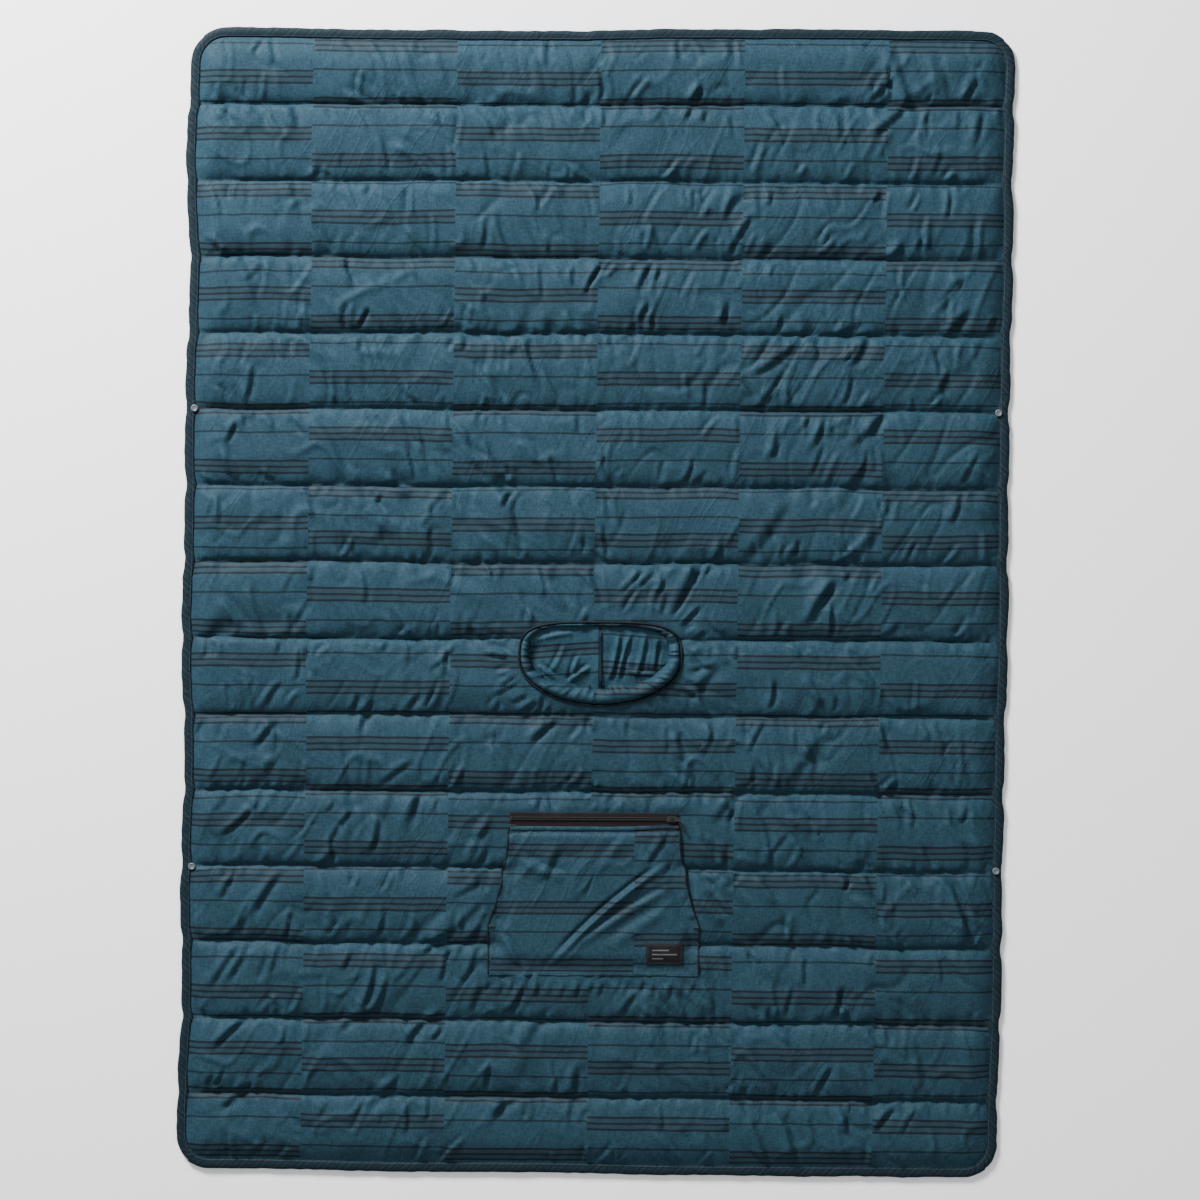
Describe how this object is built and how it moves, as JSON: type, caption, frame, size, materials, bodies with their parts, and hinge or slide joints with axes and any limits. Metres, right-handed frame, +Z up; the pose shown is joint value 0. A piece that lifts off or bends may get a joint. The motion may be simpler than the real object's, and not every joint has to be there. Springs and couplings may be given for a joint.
{
  "type": "camp blanket",
  "caption": "Quilted camp blanket that wears as a poncho, with a neck hole and tucked-in hood, a zipped pouch pocket and side snaps.",
  "frame": {"origin": "centre of the footprint, on the surface the blanket lies on", "axes": "+X to the right of the printed side, +Y towards the back hem, +Z up out of the printed side"},
  "size_m": [1.44, 2, 0.0293],
  "materials": {
    "print": "printed ripstop nylon",
    "binding": "printed nylon cut on the bias",
    "lining": "plain nylon taffeta",
    "insulation": "polyester wadding",
    "thread": "polyester thread",
    "zip_tape": "woven polyester tape",
    "zip_coil": "moulded nylon coil",
    "zip_metal": "black painted zinc",
    "snap": "moulded acetal",
    "label": "woven damask label"
  },
  "bodies": {
    "back_half": {"binding_back": "binding", "binding_stitching_back": "thread", "insulation_back": "insulation", "lining_back": "lining", "quilt_seam_01": "thread", "quilt_seam_02": "thread", "quilt_seam_03": "thread", "quilt_seam_04": "thread", "quilt_seam_05": "thread", "quilt_seam_06": "thread", "quilt_seam_07": "thread", "quilt_seam_08_left": "thread", "quilt_seam_08_right": "thread", "shell_back": "print", "snap_cap_back_left": "snap", "snap_cap_back_right": "snap", "snap_socket_left": "snap", "snap_socket_right": "snap"},
    "front_half": {"binding_front": "binding", "binding_stitching_front": "thread", "collar_roll": "print", "insulation_front": "insulation", "label": "label", "lining_front": "lining", "neck_binding": "binding", "pocket_bartack_bottom_left": "thread", "pocket_bartack_bottom_right": "thread", "pocket_bartack_top_left": "thread", "pocket_bartack_top_right": "thread", "pocket_lining": "lining", "pocket_panel": "print", "pocket_stitching": "thread", "quilt_seam_09": "thread", "quilt_seam_10": "thread", "quilt_seam_11": "thread", "quilt_seam_12": "thread", "quilt_seam_13": "thread", "quilt_seam_14": "thread", "shell_front": "print", "snap_cap_front_left": "snap", "snap_cap_front_right": "snap", "snap_stud_left": "snap", "snap_stud_right": "snap", "zip_coil_lower": "zip_coil", "zip_coil_upper": "zip_coil", "zip_stop_left": "zip_metal", "zip_stop_right": "zip_metal", "zip_tape_lower": "zip_tape", "zip_tape_upper": "zip_tape"},
    "hood": {"hood_centre_seam": "binding", "hood_panel_left": "print", "hood_panel_right": "print"},
    "zip_slider": {"zip_slider": "zip_metal"},
    "zip_pull": {"zip_pull": "zip_metal", "zip_pull_loop": "zip_coil"}
  },
  "joints": [
    {"name": "shoulder_fold", "type": "hinge", "parent": "back_half", "child": "front_half", "pos_m": [0, -0.06667, 0.026], "axis": [-1, 0, 0], "range_deg": [0, 180]},
    {"name": "hood_lift", "type": "hinge", "parent": "front_half", "child": "hood", "pos_m": [0, -0.04487, 0.011], "axis": [-1, 0, 0], "range_deg": [0, 90]},
    {"name": "zip_slide", "type": "slide", "parent": "front_half", "child": "zip_slider", "axis": [-1, 0, 0], "range_m": [0, 0.268]},
    {"name": "zip_pull_turn", "type": "hinge", "parent": "zip_slider", "child": "zip_pull", "pos_m": [0.134, -0.37857, 0.02345], "axis": [0, -1, 0], "range_deg": [0, 160]}
  ]
}
